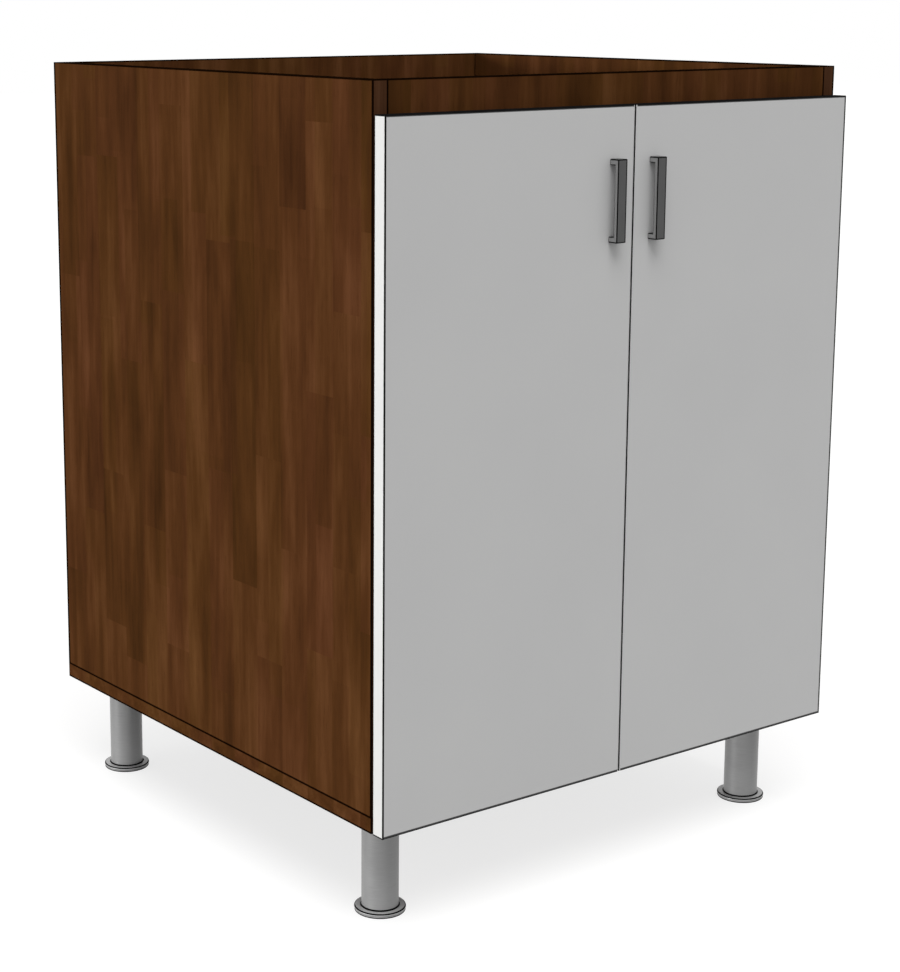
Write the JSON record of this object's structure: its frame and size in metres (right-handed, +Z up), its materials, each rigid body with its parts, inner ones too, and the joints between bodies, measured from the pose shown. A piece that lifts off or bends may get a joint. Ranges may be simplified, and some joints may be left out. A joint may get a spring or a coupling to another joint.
{
  "type": "sink base cabinet",
  "caption": "Open-topped kitchen base cabinet for a sink: boards on levelling legs, front rail, and full-overlay doors on concealed cup hinges.",
  "frame": {"origin": "on the floor under the centre of the object's box", "axes": "+Z up, doors face -Y, +X to the right of someone facing the doors"},
  "size_m": [0.6, 0.61, 0.805],
  "materials": {
    "walnut_board": "dark walnut wood-grain melamine, matt",
    "walnut_edge": "dark walnut edge band, matt",
    "door_board": "light grey laminate, satin",
    "door_edge": "white edge band, satin",
    "pull_metal": "dark grey powder coat, satin",
    "bumper_rubber": "soft clear buffer",
    "hinge_metal": "nickel plated, satin",
    "screw_steel": "bright steel",
    "leg_metal": "satin grey steel tube",
    "foot_metal": "satin grey steel disc",
    "leg_fittings": "plain zinc"
  },
  "bodies": {
    "carcass": {"side_panel_left": "walnut_board", "side_panel_right": "walnut_board", "bottom_panel": "walnut_board", "back_panel": "walnut_board", "front_rail": "walnut_board", "side_edge_band_left": "walnut_edge", "side_edge_band_right": "walnut_edge", "bottom_edge_bands": "walnut_edge", "rail_edge_band": "walnut_edge", "leg_plates": "leg_metal", "leg_nuts": "leg_fittings", "leg_tubes_front": "leg_metal", "leg_tubes_back": "leg_metal", "hinge_arm_left_lower": "hinge_metal", "hinge_plate_left_lower": "hinge_metal", "hinge_arm_left_upper": "hinge_metal", "hinge_plate_left_upper": "hinge_metal", "hinge_arm_right_lower": "hinge_metal", "hinge_plate_right_lower": "hinge_metal", "hinge_arm_right_upper": "hinge_metal", "hinge_plate_right_upper": "hinge_metal"},
    "door_left": {"door_panel_left": "door_board", "door_edge_band_left": "door_edge", "pull_left": "pull_metal", "door_bumpers_left": "bumper_rubber", "hinge_pins_left": "screw_steel", "hinge_cups_left": "hinge_metal"},
    "door_right": {"door_panel_right": "door_board", "door_edge_band_right": "door_edge", "pull_right": "pull_metal", "door_bumpers_right": "bumper_rubber", "hinge_pins_right": "screw_steel", "hinge_cups_right": "hinge_metal"},
    "foot_front_left": {"leg_foot_front_left": "foot_metal"},
    "foot_front_right": {"leg_foot_front_right": "foot_metal"},
    "foot_back_left": {"leg_foot_back_left": "foot_metal"},
    "foot_back_right": {"leg_foot_back_right": "foot_metal"}
  },
  "joints": [
    {"name": "door_left_swing", "type": "hinge", "parent": "carcass", "child": "door_left", "pos_m": [-0.2935, -0.2867, 0.44], "axis": [0, 0, -1], "range_deg": [0, 95]},
    {"name": "door_right_swing", "type": "hinge", "parent": "carcass", "child": "door_right", "pos_m": [0.2935, -0.2867, 0.44], "axis": [0, 0, 1], "range_deg": [0, 95]},
    {"name": "foot_front_left_level", "type": "slide", "parent": "carcass", "child": "foot_front_left", "axis": [0, 0, -1], "range_m": [0, 0.02]},
    {"name": "foot_front_right_level", "type": "slide", "parent": "carcass", "child": "foot_front_right", "axis": [0, 0, -1], "range_m": [0, 0.02]},
    {"name": "foot_back_left_level", "type": "slide", "parent": "carcass", "child": "foot_back_left", "axis": [0, 0, -1], "range_m": [0, 0.02]},
    {"name": "foot_back_right_level", "type": "slide", "parent": "carcass", "child": "foot_back_right", "axis": [0, 0, -1], "range_m": [0, 0.02]}
  ]
}
